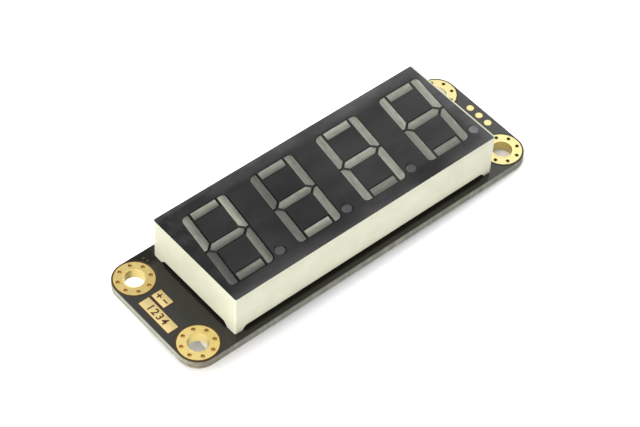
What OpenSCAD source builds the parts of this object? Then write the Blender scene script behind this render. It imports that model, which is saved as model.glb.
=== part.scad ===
/* [Digits] */
// Distance from one digit to the next
digit_pitch = 12.7; // [12.4:0.1:14]
// Height of a digit
digit_h = 14.2; // [13.4:0.1:15]
// Width of a digit, measured level
digit_w = 8.1; // [7.6:0.1:8.4]
// Lean of the digits away from upright, in degrees
slant = 8; // [6:0.5:10]
// Width of the upright segments
upright_w = 1.35; // [1.1:0.05:1.6]
// Width of the level segments
level_w = 1.45; // [1.1:0.05:1.7]
// Gap between neighbouring segments
segment_gap = 0.4; // [0.25:0.05:0.55]
// Width of the flat end that an upright segment keeps at mid height
tip_flat = 0.5; // [0.35:0.05:0.7]
// Radius of the outer corners of a digit
corner_r = 0.8; // [0.4:0.05:1.1]
// Diameter of a decimal point
dot_d = 1.6; // [1.2:0.1:1.8]
// Gap between a digit and its decimal point
dot_gap = 0.65; // [0.5:0.05:0.8]

/* [Display housing] */
// Height of the display, from its feet to its face
display_h = 8; // [7.6:0.1:10]
// Width of the display, across the digits' height
display_w = 19; // [18.4:0.1:21]
// Gap between two displays that stand end to end at the digit pitch
stack_gap = 0.4; // [0.3:0.1:0.7]
// Thickness of the outer walls
wall_t = 1; // [0.7:0.05:1.2]
// Radius of the upright outer edges
edge_r = 0.25; // [0.15:0.05:0.5]
// Thickness of the dark coat on the face
coat_t = 0.1; // [0.06:0.02:0.2]
// Strip of bare moulding between the coat and the display's plain end
coat_strip = 0.3; // [0.15:0.05:0.6]
// Depth of the window surfaces below the face
window_recess = 0.14; // [0.12:0.02:0.3]
// Height of the feet at the four corners
foot_h = 0.75; // [0.5:0.05:1]
// Length of a foot along the long side
foot_l = 1.3; // [1.1:0.1:2]
// Length of a foot along the short side
foot_w = 1.8; // [1.3:0.1:2.4]
// Run of the slope beside each foot
foot_slope = 0.75; // [0.4:0.05:1.2]
// Thickness of the plain plate that the moulding keeps behind its face
face_plate_t = 1.3; // [1:0.1:2]
// Wall that the moulding keeps around each light funnel
funnel_wall = 0.8; // [0.6:0.05:1]
// Depth of the straight part of a funnel below the face
funnel_straight = 1.2; // [0.8:0.1:1.8]
// Length of the small end of a funnel
funnel_foot_l = 2; // [1.4:0.1:2.4]
// Width of the small end of a funnel
funnel_foot_w = 0.9; // [0.7:0.05:1]

/* [Light board and resin] */
// Thickness of the board that carries the light chips
light_board_t = 1; // [0.8:0.1:1.2]
// Gap around the light board inside the housing
light_board_gap = 0.1; // [0.05:0.05:0.2]
// Thickness of the resin that seals the back of the display
resin_t = 0.6; // [0.4:0.05:0.8]
// Width of a light chip
light_chip_w = 0.3; // [0.2:0.05:0.4]
// Height of a light chip
light_chip_h = 0.12; // [0.08:0.02:0.2]

/* [Display pins] */
// Diameter of a pin
pin_d = 0.5; // [0.4:0.05:0.6]
// Distance from one pin to the next in a row
pin_pitch = 2.54; // [2.2:0.02:2.8]
// Distance from the display's long sides to the rows of pins
pin_inset = 1.88; // [1.7:0.02:2.2]
// Length of a pin that stands out behind the circuit board
pin_stub = 1.3; // [0.9:0.1:2]
// Diameter of a pin's hole in the circuit board
pin_hole_d = 1; // [0.9:0.05:1.2]
// Diameter of the solder around a pin where it meets the circuit board
solder_d = 1.7; // [1.5:0.1:2]
// Height of the solder along a pin
solder_h = 0.9; // [0.6:0.1:1]

/* [Circuit board] */
// Thickness of the circuit board
board_t = 1.6; // [1:0.1:2.4]
// Strip of circuit board that shows on each long side of the display
side_margin = 1.4; // [1:0.1:3]
// Place of the display's centre along the circuit board
display_x = 0.25; // [-0.5:0.05:0.5]
// Place of the display's centre across the circuit board
display_y = -0.2; // [-0.4:0.1:0.4]
// Diameter of the mounting holes
hole_d = 3.2; // [2.8:0.1:3.4]
// Diameter of the plated rings around the mounting holes
ring_d = 6.4; // [6:0.1:7]
// Gap between the display's ends and the plated rings
ring_gap = 1.6; // [1.2:0.05:3]
// Strip of bare board between a plated ring and the board's edge
ring_rim = 0.2; // [0.1:0.05:0.6]
// Thickness of the plating
plating_t = 0.05; // [0.03:0.01:0.08]
// Number of small plated holes in each ring
ring_hole_count = 8; // [4:1:10]
// Diameter of the small plated holes
ring_hole_d = 0.55; // [0.3:0.05:0.6]
// Distance from a ring's edge to the centres of its small holes
ring_hole_inset = 0.7; // [0.6:0.05:0.8]

/* [Driver chip] */
// Length of the chip's body
chip_l = 9.9; // [9.6:0.1:10.6]
// Width of the chip's body
chip_w = 3.9; // [3.4:0.1:4.2]
// Height of the chip's body
chip_h = 1.45; // [1.2:0.05:1.8]
// Gap between the chip's body and the circuit board
chip_lift = 0.1; // [0.05:0.05:0.2]
// Slope of the body's sides, in degrees
chip_draft = 7; // [3:1:10]
// Distance from one lead to the next
lead_pitch = 1.27; // [1.1:0.01:1.3]
// Width of a lead
lead_w = 0.42; // [0.3:0.02:0.5]
// Thickness of a lead
lead_t = 0.2; // [0.15:0.05:0.25]
// Reach of a lead from the body's side to its tip
lead_reach = 1.05; // [1:0.05:1.3]
// Length of the flat foot of a lead
lead_foot = 0.5; // [0.4:0.05:0.55]
// Straight part of a lead beside the body
lead_stub = 0.05; // [0.03:0.01:0.08]
// Inner radius of a lead's bends
lead_bend_r = 0.1; // [0.06:0.01:0.12]

/* [Cable connector] */
// Distance from one contact to the next
contact_pitch = 2; // [1.6:0.1:2.4]
// Width of a contact
contact_w = 0.5; // [0.4:0.05:0.6]
// Inner radius of a contact's bends
contact_bend_r = 0.25; // [0.15:0.05:0.4]
// Distance from the outer contacts to the connector's sides
contact_margin = 1.95; // [1.6:0.05:2.4]
// Height of the connector off the circuit board
connector_h = 5.5; // [5:0.1:6.5]
// Depth of the connector, from its mouth to its back
connector_depth = 7.6; // [7:0.1:9]
// Thickness of the connector's walls
connector_wall = 0.75; // [0.6:0.05:0.9]
// Thickness of the connector's back
connector_back = 1.5; // [1:0.1:2]
// Gap between the mounting rings and the connector's mouth
connector_gap = 0.4; // [0.2:0.1:1]
// Width of the two keyways in the connector's cover wall
keyway_w = 1.1; // [0.8:0.1:1.4]
// Length of the keyways
keyway_l = 3.4; // [2.5:0.1:4.5]
// Length of a contact's foot behind the connector
contact_foot = 1.8; // [1.4:0.1:2.4]
// Length of the metal tabs that hold the connector down
tab_l = 3; // [2:0.1:4]
// Reach of a tab's foot beside the connector
tab_reach = 1.4; // [1:0.1:1.6]
// Thickness of a tab
tab_t = 0.3; // [0.2:0.05:0.4]

/* [Small chips] */
// Gap between neighbouring parts on the back of the circuit board
part_gap = 1.4; // [0.8:0.1:2]
// Length of a capacitor
capacitor_l = 2; // [1.6:0.1:3.2]
// Width of a capacitor
capacitor_w = 1.25; // [0.8:0.05:1.6]
// Height of a capacitor
capacitor_h = 0.85; // [0.6:0.05:1.2]
// Length of a resistor
resistor_l = 1.6; // [1.2:0.1:2]
// Width of a resistor
resistor_w = 0.8; // [0.6:0.05:1.2]
// Height of a resistor
resistor_h = 0.45; // [0.35:0.05:0.6]
// Length of the metal ends of both
end_cap = 0.35; // [0.25:0.05:0.45]

/* [Hidden] */

// Clearance between pieces that are seated, cast or soldered in place
fit = 0.02;
// Overshoot of a cut past the face that it opens
cut = 0.5;
// Straight steps in each rounded corner of a segment
corner_steps = 6;
// Straight steps in each bend of a lead or contact
bend_steps = 4;
$fn = 48;

digits = 4;
pins_per_row = 6;
leads_per_side = 8;
contacts = 4;

// Display: its box, its levels and the places of its digits
display_l = digits * digit_pitch - stack_gap;
coat_z = display_h - coat_t;
window_z = display_h - window_recess;
resin_z = foot_h + fit;
light_board_z = resin_z + resin_t;
funnel_z = light_board_z + light_board_t;
knee_z = display_h - funnel_straight;
bay_l = display_l - 2 * wall_t;
bay_w = display_w - 2 * wall_t;

// Digit: the lines that its segments share, before it leans
lean = tan(slant);
outer_x = digit_w / 2;
inner_x = outer_x - upright_w;
top_y = digit_h / 2;
mid_y = segment_gap / 2;
upright_mid_y = (top_y + mid_y) / 2;
level_mid_y = top_y - level_w / 2;
tip_sum = outer_x - tip_flat + mid_y;
middle_tip_x = tip_sum - segment_gap * sqrt(2);
dot_y = -top_y + dot_d / 2;
dot_x = outer_x + dot_y * lean + dot_gap + dot_d / 2;

// Circuit board: its outline follows the display and the plated rings
board_l = display_l + 2 * (ring_gap + ring_d + ring_rim);
board_w = display_w + 2 * side_margin;
board_corner_r = ring_d / 2 + ring_rim;
hole_x = board_l / 2 - board_corner_r;
hole_y = board_w / 2 - board_corner_r;
ring_hole_r = ring_d / 2 - ring_hole_inset;

// Back of the circuit board: each part stands a gap away from the last
connector_x = -hole_x + ring_d / 2 + connector_gap;
connector_w = (contacts - 1) * contact_pitch + 2 * contact_margin;
contact_z = connector_h / 2;
capacitor_x = connector_x + connector_depth + contact_foot + part_gap + capacitor_w / 2;
resistor_x = capacitor_x + capacitor_w / 2 + part_gap + resistor_w / 2;
chip_x = resistor_x + resistor_w / 2 + part_gap + chip_l / 2;
reserve_x = chip_x + chip_l / 2 + part_gap + capacitor_w / 2;
capacitor_places = [[capacitor_x, capacitor_l], [capacitor_x, -capacitor_l], [reserve_x, 0]];
resistor_places = [[resistor_x, resistor_l], [resistor_x, -resistor_l]];

function leaned(points) = [for (p = points) [p[0] + p[1] * lean, p[1]]];
function flipped(points, sx, sy) = [for (p = points) [p[0] * sx, p[1] * sy]];
function arc(cx, cy, r, from, to, steps = corner_steps) = [
    for (i = [0:steps])
        let (a = from + (to - from) * i / steps)
        [cx + r * cos(a), cy + r * sin(a)]
];
function digit_x(number) = (number - (digits + 1) / 2) * digit_pitch;

// Outline of the upper right segment; g draws it in on every side
function upright(g) = concat(
    [[outer_x - g, mid_y + g]],
    arc(outer_x - corner_r, top_y - corner_r, corner_r - g, 0, 90),
    [
        [inner_x + g, top_y - g],
        [inner_x + g, tip_sum - inner_x + g * (sqrt(2) - 1)],
        [tip_sum - mid_y + g * (sqrt(2) - 1), mid_y + g]
    ]
);

// Outline of the top segment
function level(g) = [
    [-inner_x + segment_gap + g, top_y - level_w + g],
    [inner_x - segment_gap - g, top_y - level_w + g],
    [inner_x - segment_gap - g, top_y - g],
    [-inner_x + segment_gap + g, top_y - g]
];

// Outline of the middle segment, pointed at both ends
function middle(g) = let (
    tip = middle_tip_x - g * sqrt(2),
    side = level_w / 2 - g
) [
    [-tip, 0], [side - tip, -side], [tip - side, -side],
    [tip, 0], [tip - side, side], [side - tip, side]
];

// Strip that leaves a body level at height z, bends down and ends in a flat foot.
// Its two bends have the same radius and a straight flank touches both.
function crank(start, shoulder, heel, tip, z, t, r) = let (
    mid_r = r + t / 2,
    run = heel - shoulder,
    drop = z - t / 2 - 2 * mid_r,
    flank_l = sqrt(run * run + drop * drop - 4 * mid_r * mid_r),
    a = atan2(drop, run) + atan2(2 * mid_r, flank_l)
) concat(
    [[start, z + t / 2]],
    arc(shoulder, z - mid_r, r + t, 90, 90 - a, bend_steps),
    arc(heel, t / 2 + mid_r, r, 270 - a, 270, bend_steps),
    [[tip, t], [tip, 0]],
    arc(heel, t / 2 + mid_r, r + t, 270, 270 - a, bend_steps),
    arc(shoulder, z - mid_r, r, 90 - a, 90, bend_steps),
    [[start, z - t / 2]]
);

// The seven segments: outline, centre and true when upright
function segments(g) = [
    [level(g), [0, level_mid_y], false],
    [middle(g), [0, 0], false],
    [flipped(level(g), 1, -1), [0, -level_mid_y], false],
    [upright(g), [outer_x - upright_w / 2, upright_mid_y], true],
    [flipped(upright(g), 1, -1), [outer_x - upright_w / 2, -upright_mid_y], true],
    [flipped(upright(g), -1, -1), [upright_w / 2 - outer_x, -upright_mid_y], true],
    [flipped(upright(g), -1, 1), [upright_w / 2 - outer_x, upright_mid_y], true]
];

module rounded_rectangle(l, w, r) {
    square([l - 2 * r, w], center = true);
    square([l, w - 2 * r], center = true);
    for (x = [-1, 1], y = [-1, 1])
        translate([x * (l / 2 - r), y * (w / 2 - r)])
            circle(r);
}

// Half width at height z of a funnel that narrows evenly below its straight part
function narrowed(half_top, half_foot, z) =
    half_foot + (half_top - half_foot) * (z - funnel_z) / (knee_z - funnel_z);

// Half of a funnel's outline in height, from foot_z up to head_z
function flank(half_top, half_foot, foot_z, head_z) = [
    [narrowed(half_top, half_foot, foot_z), foot_z], [half_top, knee_z], [half_top, head_z]
];

// Wedge that narrows a funnel along X as it goes down
module narrowing(half_top, half_foot, foot_z, head_z) {
    right = flank(half_top, half_foot, foot_z, head_z + cut);
    left = flipped(right, -1, 1);
    rotate([90, 0, 0])
        linear_extrude(2 * digit_h, center = true)
            polygon([right[0], right[1], right[2], left[2], left[1], left[0]]);
}

// One segment's funnel, from its outline at the face to a small foot
module funnel(segment, g, foot_z, head_z) {
    centre = leaned([segment[1]])[0];
    is_upright = segment[2];
    long_half = is_upright ? (top_y - mid_y) / 2 : max([for (p = segment[0]) p[0]]);
    wide_half = (is_upright ? upright_w : level_w) / 2;
    long_foot = funnel_foot_l / 2 - g;
    wide_foot = funnel_foot_w / 2 - g;
    x_top = is_upright ? wide_half : long_half;
    y_top = is_upright ? long_half : wide_half;
    x_foot = is_upright ? wide_foot : long_foot;
    y_foot = is_upright ? long_foot : wide_foot;
    intersection() {
        translate([0, 0, foot_z])
            linear_extrude(head_z - foot_z)
                polygon(leaned(segment[0]));
        translate([centre[0], centre[1], 0])
            rotate([0, 0, -slant])
                narrowing(x_top + fit, x_foot, foot_z, head_z);
        translate([centre[0], centre[1], 0])
            rotate([0, 0, 90])
                narrowing(y_top + fit, y_foot, foot_z, head_z);
    }
}

module dot_funnel(g, foot_z, head_z) {
    translate([dot_x, dot_y, 0])
        rotate_extrude()
            polygon(concat(
                [[0, head_z], [0, foot_z]],
                flank(dot_d / 2 - g, funnel_foot_w / 2 - g, foot_z, head_z)
            ));
}

// Hollows behind the face: one inside each loop of a digit
module loop_hollow() {
    half_l = inner_x - funnel_wall;
    low = level_w / 2 + funnel_wall;
    high = top_y - level_w - funnel_wall;
    for (s = [-1, 1])
        translate([0, 0, funnel_z])
            linear_extrude(coat_z - face_plate_t - funnel_z)
                polygon(leaned([[-half_l, s * low], [half_l, s * low], [half_l, s * high], [-half_l, s * high]]));
}

// Hollow between two digits, above the decimal point
module gap_hollow() {
    left = outer_x + funnel_wall;
    right = digit_pitch - outer_x - funnel_wall;
    low = dot_y + dot_d / 2 + funnel_wall;
    translate([0, 0, funnel_z])
        linear_extrude(coat_z - face_plate_t - funnel_z)
            polygon(leaned([[left, low], [right, low], [right, top_y], [left, top_y]]));
}

// Opening under a side wall, between two feet
module arch(l, foot, depth) {
    rotate([90, 0, 0])
        linear_extrude(depth, center = true)
            polygon([
                [foot - l / 2, -cut], [foot - l / 2, 0], [foot + foot_slope - l / 2, foot_h],
                [l / 2 - foot - foot_slope, foot_h], [l / 2 - foot, 0], [l / 2 - foot, -cut]
            ]);
}

module at_display() {
    translate([display_x, display_y, 0])
        children();
}

module at_pins(row) {
    for (i = [0:pins_per_row - 1])
        at_display()
            translate([(i - (pins_per_row - 1) / 2) * pin_pitch, row * (display_w / 2 - pin_inset), 0])
                children();
}

module at_back() {
    translate([0, 0, -board_t])
        mirror([0, 0, 1])
            children();
}

module ring_holes(x, y, d, z, h) {
    for (i = [0:ring_hole_count - 1])
        translate([x * hole_x, y * hole_y, z])
            rotate([0, 0, (i + 0.5) * 360 / ring_hole_count])
                translate([ring_hole_r, 0, 0])
                    cylinder(h = h, d = d, $fn = 24);
}

module circuit_board() {
    color([0.09, 0.09, 0.08])
        difference() {
            translate([0, 0, -board_t])
                linear_extrude(board_t)
                    rounded_rectangle(board_l, board_w, board_corner_r);
            for (x = [-1, 1], y = [-1, 1]) {
                translate([x * hole_x, y * hole_y, -board_t - cut])
                    cylinder(h = board_t + 2 * cut, d = hole_d + 2 * (plating_t + fit));
                ring_holes(x, y, ring_hole_d + 2 * (plating_t + fit), -board_t - cut, board_t + 2 * cut);
            }
            for (row = [-1, 1])
                at_pins(row)
                    translate([0, 0, -board_t - cut])
                        cylinder(h = board_t + 2 * cut, d = pin_hole_d, $fn = 24);
        }
}

// Ring on both faces, joined through the mounting hole and the small holes
module hole_plating(x, y) {
    color([0.86, 0.74, 0.42])
        difference() {
            union() {
                for (z = [0, -board_t - plating_t])
                    translate([x * hole_x, y * hole_y, z])
                        cylinder(h = plating_t, d = ring_d);
                translate([x * hole_x, y * hole_y, -board_t - plating_t])
                    cylinder(h = board_t + 2 * plating_t, d = hole_d + 2 * plating_t);
                ring_holes(x, y, ring_hole_d + 2 * plating_t, -board_t - plating_t, board_t + 2 * plating_t);
            }
            translate([x * hole_x, y * hole_y, -board_t - plating_t - cut])
                cylinder(h = board_t + 2 * (plating_t + cut), d = hole_d);
            ring_holes(x, y, ring_hole_d, -board_t - plating_t - cut, board_t + 2 * (plating_t + cut));
        }
}

// Moulded body with a funnel behind every window and feet at its corners
module display_housing() {
    color([0.92, 0.9, 0.81])
        at_display()
            difference() {
                linear_extrude(coat_z)
                    rounded_rectangle(display_l, display_w, edge_r);
                arch(display_l, foot_l, display_w + 2 * cut);
                rotate([0, 0, 90])
                    arch(display_w, foot_w, display_l + 2 * cut);
                translate([-bay_l / 2, -bay_w / 2, -cut])
                    cube([bay_l, bay_w, funnel_z + cut]);
                for (number = [1:digits])
                    translate([digit_x(number), 0, 0]) {
                        for (segment = segments(0))
                            funnel(segment, 0, funnel_z - cut, display_h + cut);
                        dot_funnel(0, funnel_z - cut, display_h + cut);
                        loop_hollow();
                        if (number < digits)
                            gap_hollow();
                    }
            }
}

module face_coat() {
    color([0.24, 0.24, 0.25])
        at_display()
            translate([0, 0, coat_z])
                linear_extrude(coat_t)
                    difference() {
                        rounded_rectangle(display_l, display_w, edge_r);
                        translate([display_l / 2 - coat_strip, -display_w])
                            square([coat_strip + cut, 2 * display_w]);
                        for (number = [1:digits])
                            translate([digit_x(number), 0]) {
                                for (segment = segments(0))
                                    polygon(leaned(segment[0]));
                                translate([dot_x, dot_y])
                                    circle(d = dot_d);
                            }
                    }
}

// Clear space that the cast resin leaves around a light chip
module chip_pocket(place) {
    w = light_chip_w + 2 * fit;
    translate([place[0] - w / 2, place[1] - w / 2, funnel_z - cut])
        cube([w, w, cut + light_chip_h + fit]);
}

module digit_windows(number) {
    color([0.62, 0.63, 0.57])
        at_display()
            translate([digit_x(number), 0, 0])
                for (segment = segments(fit))
                    difference() {
                        funnel(segment, fit, funnel_z, window_z);
                        chip_pocket(leaned([segment[1]])[0]);
                    }
}

module decimal_windows() {
    color([0.4, 0.39, 0.4])
        at_display()
            for (number = [1:digits])
                translate([digit_x(number), 0, 0])
                    difference() {
                        dot_funnel(fit, funnel_z, window_z);
                        chip_pocket([dot_x, dot_y]);
                    }
}

module light_board() {
    l = bay_l - 2 * light_board_gap;
    w = bay_w - 2 * light_board_gap;
    color([0.85, 0.84, 0.74])
        difference() {
            at_display()
                translate([-l / 2, -w / 2, light_board_z])
                    cube([l, w, light_board_t]);
            for (row = [-1, 1])
                at_pins(row)
                    translate([0, 0, light_board_z - cut])
                        cylinder(h = light_board_t + 2 * cut, d = pin_d + 2 * fit, $fn = 24);
        }
}

module light_chips() {
    color([0.75, 0.25, 0.2])
        at_display()
            for (number = [1:digits])
                for (place = concat([for (s = segments(0)) leaned([s[1]])[0]], [[dot_x, dot_y]]))
                    translate([
                        digit_x(number) + place[0] - light_chip_w / 2,
                        place[1] - light_chip_w / 2,
                        funnel_z
                    ])
                        cube([light_chip_w, light_chip_w, light_chip_h]);
}

module back_resin() {
    l = bay_l - 2 * fit;
    w = bay_w - 2 * fit;
    color([0.8, 0.78, 0.66])
        difference() {
            at_display()
                translate([-l / 2, -w / 2, resin_z])
                    cube([l, w, resin_t]);
            for (row = [-1, 1])
                at_pins(row)
                    translate([0, 0, resin_z - cut])
                        cylinder(h = resin_t + 2 * cut, d = pin_d + 2 * fit, $fn = 24);
        }
}

module display_pins(row) {
    point = pin_d / 2;
    low = -board_t - pin_stub;
    color([0.78, 0.78, 0.76])
        at_pins(row) {
            translate([0, 0, low + point])
                cylinder(h = funnel_z - point - low - fit, d = pin_d, $fn = 24);
            translate([0, 0, low])
                cylinder(h = point, d1 = pin_d / 2, d2 = pin_d, $fn = 24);
        }
}

// Solder fills each pin's hole and rises along the pin in a hollow curve
module pin_solder() {
    pin_r = pin_d / 2 + fit;
    hole_r = pin_hole_d / 2 - fit;
    skirt = solder_d / 2 - pin_r;
    curve = [
        for (i = [0:corner_steps])
            let (a = 90 * i / corner_steps)
            [pin_r + skirt * (1 - sin(a)), -board_t - solder_h * (1 - cos(a))]
    ];
    color([0.75, 0.75, 0.73])
        for (row = [-1, 1])
            at_pins(row)
                rotate_extrude($fn = 24)
                    polygon(concat([[pin_r, -fit], [hole_r, -fit], [hole_r, -board_t]], curve));
}

// Block whose sides slope away from a parting line at lead height
module drafted_body(l, w, h, parting) {
    top = (h - parting) * tan(chip_draft);
    low = parting * tan(chip_draft);
    intersection() {
        rotate([90, 0, 0])
            linear_extrude(2 * w, center = true)
                polygon([
                    [low - l / 2, 0], [l / 2 - low, 0], [l / 2, parting],
                    [l / 2 - top, h], [top - l / 2, h], [-l / 2, parting]
                ]);
        rotate([90, 0, 90])
            linear_extrude(2 * l, center = true)
                polygon([
                    [low - w / 2, 0], [w / 2 - low, 0], [w / 2, parting],
                    [w / 2 - top, h], [top - w / 2, h], [-w / 2, parting]
                ]);
    }
}

module driver_chip() {
    mark_d = chip_w / 5;
    mark_depth = 0.1;
    color([0.13, 0.13, 0.13])
        at_back()
            translate([chip_x, 0, chip_lift])
                difference() {
                    drafted_body(chip_l, chip_w, chip_h, chip_h / 2);
                    translate([mark_d - chip_l / 2, mark_d - chip_w / 2, chip_h - mark_depth])
                        cylinder(h = mark_depth + cut, d = mark_d, $fn = 32);
                }
}

module driver_chip_leads() {
    out = chip_w / 2;
    tip = out + lead_reach;
    color([0.76, 0.76, 0.74])
        at_back()
            for (i = [0:leads_per_side - 1], s = [0, 1])
                translate([chip_x + (i - (leads_per_side - 1) / 2) * lead_pitch, 0, 0])
                    mirror([0, s, 0])
                        rotate([90, 0, 90])
                            linear_extrude(lead_w, center = true)
                                polygon(crank(
                                    out, out + lead_stub, tip - lead_foot, tip,
                                    chip_lift + chip_h / 2, lead_t, lead_bend_r
                                ));
}

// Shrouded housing that lies on the board with its mouth towards the board's end
module connector_housing() {
    keyway_y = (contacts - 1) * contact_pitch / 2;
    bore = contact_w + 2 * fit;
    mouth_w = connector_w - 2 * connector_wall;
    mouth_h = connector_h - 2 * connector_wall;
    notch_l = keyway_l / 2;
    notch_h = mouth_h / 3;
    color([0.93, 0.92, 0.86])
        at_back()
            translate([connector_x, 0, 0])
                difference() {
                    translate([0, -connector_w / 2, 0])
                        cube([connector_depth, connector_w, connector_h]);
                    translate([-cut, -mouth_w / 2, connector_wall])
                        cube([connector_depth - connector_back + cut, mouth_w, mouth_h]);
                    for (s = [-1, 1])
                        translate([-cut, s * keyway_y - keyway_w / 2, connector_h - connector_wall - cut])
                            cube([keyway_l + cut, keyway_w, connector_wall + 2 * cut]);
                    translate([-cut, -connector_w, contact_z - notch_h / 2])
                        cube([notch_l + cut, 2 * connector_w, notch_h]);
                    for (i = [0:contacts - 1])
                        translate([
                            0,
                            (i - (contacts - 1) / 2) * contact_pitch - bore / 2,
                            contact_z - bore / 2
                        ])
                            cube([connector_depth + cut, bore, bore]);
                }
}

// Square wires that run through the back, turn down and lie on the board
module connector_contacts() {
    half = contact_w / 2;
    rear = connector_depth + fit;
    heel = rear + 2 * contact_bend_r + contact_w;
    color([0.8, 0.78, 0.68])
        at_back()
            for (i = [0:contacts - 1])
                translate([connector_x, (i - (contacts - 1) / 2) * contact_pitch, 0])
                    rotate([90, 0, 0])
                        linear_extrude(contact_w, center = true)
                            polygon(concat(
                                crank(
                                    connector_wall + half, rear, heel, connector_depth + contact_foot,
                                    contact_z, contact_w, contact_bend_r
                                ),
                                [[connector_wall, contact_z - half / 2], [connector_wall, contact_z + half / 2]]
                            ));
}

module connector_tabs() {
    side = connector_w / 2 + fit;
    color([0.78, 0.78, 0.75])
        at_back()
            for (s = [0, 1])
                translate([connector_x + (connector_depth - tab_l) / 2, 0, 0])
                    mirror([0, s, 0])
                        rotate([90, 0, 90])
                            linear_extrude(tab_l)
                                polygon([
                                    [side, 0], [side + tab_reach, 0], [side + tab_reach, tab_t],
                                    [side + tab_t, tab_t], [side + tab_t, contact_z], [side, contact_z]
                                ]);
}

// Middle of a small chip part, between its metal ends
module chip_middle(place, l, w, h) {
    translate([place[0] - w / 2, place[1] - l / 2 + end_cap, 0])
        cube([w, l - 2 * end_cap, h]);
}

module chip_ends(place, l, w, h) {
    for (s = [-1, 1])
        translate([place[0] - w / 2, place[1] + s * (l - end_cap) / 2 - end_cap / 2, 0])
            cube([w, end_cap, h]);
}

module capacitor_bodies() {
    color([0.72, 0.6, 0.45])
        at_back()
            for (place = capacitor_places)
                chip_middle(place, capacitor_l, capacitor_w, capacitor_h);
}

module capacitor_ends() {
    color([0.78, 0.78, 0.76])
        at_back()
            for (place = capacitor_places)
                chip_ends(place, capacitor_l, capacitor_w, capacitor_h);
}

module resistor_bodies() {
    color([0.12, 0.12, 0.13])
        at_back()
            for (place = resistor_places)
                chip_middle(place, resistor_l, resistor_w, resistor_h);
}

module resistor_ends() {
    color([0.78, 0.78, 0.76])
        at_back()
            for (place = resistor_places)
                chip_ends(place, resistor_l, resistor_w, resistor_h);
}

circuit_board();
hole_plating(-1, -1);  // hole_plating_left_front
hole_plating(-1, 1);  // hole_plating_left_back
hole_plating(1, -1);  // hole_plating_right_front
hole_plating(1, 1);  // hole_plating_right_back
display_housing();
face_coat();
digit_windows(1);  // digit_1_windows
digit_windows(2);  // digit_2_windows
digit_windows(3);  // digit_3_windows
digit_windows(4);  // digit_4_windows
decimal_windows();
light_board();
light_chips();
back_resin();
display_pins(-1);  // display_pins_front
display_pins(1);  // display_pins_back
pin_solder();
driver_chip();
driver_chip_leads();
connector_housing();
connector_contacts();
connector_tabs();
capacitor_bodies();
capacitor_ends();
resistor_bodies();
resistor_ends();
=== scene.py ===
import math

import bmesh
import bpy
from bpy.props import FloatProperty, FloatVectorProperty, PointerProperty
from bpy.types import NodeSocket, Operator, Panel, PropertyGroup
from mathutils import Matrix, Vector


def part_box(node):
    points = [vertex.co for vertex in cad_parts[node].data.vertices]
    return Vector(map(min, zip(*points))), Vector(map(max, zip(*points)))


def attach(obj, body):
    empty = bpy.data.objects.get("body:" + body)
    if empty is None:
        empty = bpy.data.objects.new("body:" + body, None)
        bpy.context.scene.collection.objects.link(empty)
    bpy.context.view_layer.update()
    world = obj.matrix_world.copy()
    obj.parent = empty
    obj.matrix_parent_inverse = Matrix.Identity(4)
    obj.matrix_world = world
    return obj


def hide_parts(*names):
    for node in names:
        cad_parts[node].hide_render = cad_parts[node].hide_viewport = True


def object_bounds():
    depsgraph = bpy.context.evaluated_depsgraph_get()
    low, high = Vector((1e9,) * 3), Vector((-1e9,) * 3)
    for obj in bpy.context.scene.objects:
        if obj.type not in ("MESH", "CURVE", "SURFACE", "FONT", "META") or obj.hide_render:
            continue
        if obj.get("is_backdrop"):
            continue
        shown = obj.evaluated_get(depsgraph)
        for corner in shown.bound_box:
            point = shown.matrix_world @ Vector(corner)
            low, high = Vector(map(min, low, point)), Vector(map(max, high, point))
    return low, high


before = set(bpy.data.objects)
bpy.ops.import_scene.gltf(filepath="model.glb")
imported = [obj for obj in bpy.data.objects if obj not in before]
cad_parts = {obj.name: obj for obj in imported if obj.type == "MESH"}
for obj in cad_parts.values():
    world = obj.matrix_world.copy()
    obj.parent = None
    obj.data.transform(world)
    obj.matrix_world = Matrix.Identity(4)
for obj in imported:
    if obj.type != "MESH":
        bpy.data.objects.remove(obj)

bl_info = {
    "name": "Display Module Finish",
    "version": (1, 0, 0),
    "blender": (4, 5, 0),
    "location": "View3D > Sidebar > Display Module",
    "description": "Finishes the four-digit display module and sets up its studio",
    "category": "Object",
}

MM = 0.001
BOARD_LOW, BOARD_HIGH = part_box("circuit_board")
FACE_LOW, FACE_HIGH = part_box("face_coat")
FACE_MIDDLE, FACE_REACH = (FACE_HIGH + FACE_LOW) / 2, (FACE_HIGH - FACE_LOW) / 2
HOUSING_LOW, HOUSING_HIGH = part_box("display_housing")
BACK_Z = BOARD_LOW.z
RING_NODES = [
    "hole_plating_left_front", "hole_plating_left_back",
    "hole_plating_right_front", "hole_plating_right_back",
]
RING_HOLES = 8
LEAD_PITCH = 1.27 * MM
# Corners closer together than this are one corner
WELD = 0.0005 * MM
# A step too small to see, that sets two levels apart
HAIR = 0.01 * MM
# A face lies flat where its normal rises more than this
FLAT = 0.9
# Lean of the digits, as a run over a rise
LEAN = math.tan(math.radians(8.0))
# Towards the cable end and the back at once, level with the board; painted shade and highlights at
# the windows' edges follow it
CABLE_END_BACK = (-0.7, 0.7, 0.0)
WHITE = (1.0, 1.0, 1.0)
# The gold at the plain end is this much paler and greener
PALE_TINT = (0.96, 1.05, 1.3)
# Painted light and shade in the digits' resin. For each digit, its upright and its level segments:
# their tone, how it changes across a segment, from the left to the right ones (in the level row,
# for the middle one), and from foot to head
DIGIT_TONES = {
    "digit_1_windows": ((0.53, -1.0, 0.32, 0.66), (0.47, 1.6, 0.0, 0.25)),
    "digit_2_windows": ((0.45, -0.48, 0.38, -0.09), (0.64, 1.4, -0.08, -0.08)),
    "digit_3_windows": ((0.78, -0.08, 0.11, -0.03), (0.6, 0.95, 0.38, 0.36)),
    "digit_4_windows": ((0.75, 0.3, 0.04, 0.32), (0.61, 0.92, 0.04, 0.23)),
}
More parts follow.
